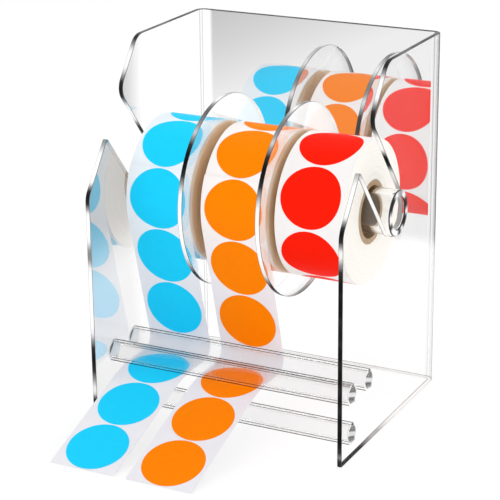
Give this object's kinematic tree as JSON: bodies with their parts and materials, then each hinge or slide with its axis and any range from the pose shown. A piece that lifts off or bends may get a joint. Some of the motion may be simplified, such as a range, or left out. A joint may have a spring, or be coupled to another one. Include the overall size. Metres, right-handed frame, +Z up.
{
  "type": "label roll holder",
  "caption": "Clear bent acrylic holder whose slanted side slots carry a hollow rod with label rolls and round dividers; guide tubes below lead label strips out to the front.",
  "frame": {"origin": "middle of the whole object's floor area, strips included, on the floor", "axes": "+X to the user's right, +Y to the back wall, +Z up; the open front faces -Y"},
  "size_m": [0.174, 0.214, 0.228],
  "materials": {
    "clear_body": "clear cast acrylic, flame-polished edges",
    "clear_rod": "clear extruded acrylic tube",
    "clear_divider": "clear acrylic disc, polished rim",
    "clear_guide": "clear extruded acrylic tube",
    "core_board": "spiral-wound brown board",
    "wound_liner": "cream edges of wound layers under a pale liner",
    "strip_liner": "smooth pale release liner",
    "blue_label": "glossy sky-blue coated paper",
    "orange_label": "glossy orange coated paper",
    "red_label": "glossy red coated paper"
  },
  "bodies": {
    "holder": {"bent_body": "clear_body", "guide_tube_rear": "clear_guide", "guide_tube_front": "clear_guide", "guide_tube_lower": "clear_guide", "strip_lead_blue": "strip_liner", "lead_labels_blue": "blue_label", "strip_lead_orange": "strip_liner", "lead_labels_orange": "orange_label"},
    "rod": {"roll_rod": "clear_rod", "strip_drop_blue": "strip_liner", "drop_labels_blue": "blue_label", "strip_drop_orange": "strip_liner", "drop_labels_orange": "orange_label"},
    "blue_roll": {"core_blue": "core_board", "wound_liner_blue": "wound_liner", "roll_labels_blue": "blue_label"},
    "orange_roll": {"core_orange": "core_board", "wound_liner_orange": "wound_liner", "roll_labels_orange": "orange_label"},
    "red_roll": {"core_red": "core_board", "wound_liner_red": "wound_liner", "roll_labels_red": "red_label"},
    "left_divider": {"divider_left": "clear_divider"},
    "right_divider": {"divider_right": "clear_divider"}
  },
  "joints": [
    {"name": "rod_lift", "type": "slide", "parent": "holder", "child": "rod", "axis": [0, -0.6361, 0.7716], "range_m": [0, 0.09]},
    {"name": "blue_roll_spin", "type": "hinge", "parent": "rod", "child": "blue_roll", "pos_m": [-0.0515, 0.03395, 0.1323], "axis": [1, 0, 0], "continuous": true},
    {"name": "orange_roll_spin", "type": "hinge", "parent": "rod", "child": "orange_roll", "pos_m": [-0.0005, 0.03395, 0.1323], "axis": [1, 0, 0], "continuous": true},
    {"name": "red_roll_spin", "type": "hinge", "parent": "rod", "child": "red_roll", "pos_m": [0.048, 0.03395, 0.1323], "axis": [1, 0, 0], "continuous": true},
    {"name": "left_divider_slide", "type": "slide", "parent": "rod", "child": "left_divider", "axis": [1, 0, 0], "range_m": [0, 0.004]},
    {"name": "right_divider_slide", "type": "slide", "parent": "rod", "child": "right_divider", "axis": [1, 0, 0], "range_m": [0, 0.0015]}
  ]
}
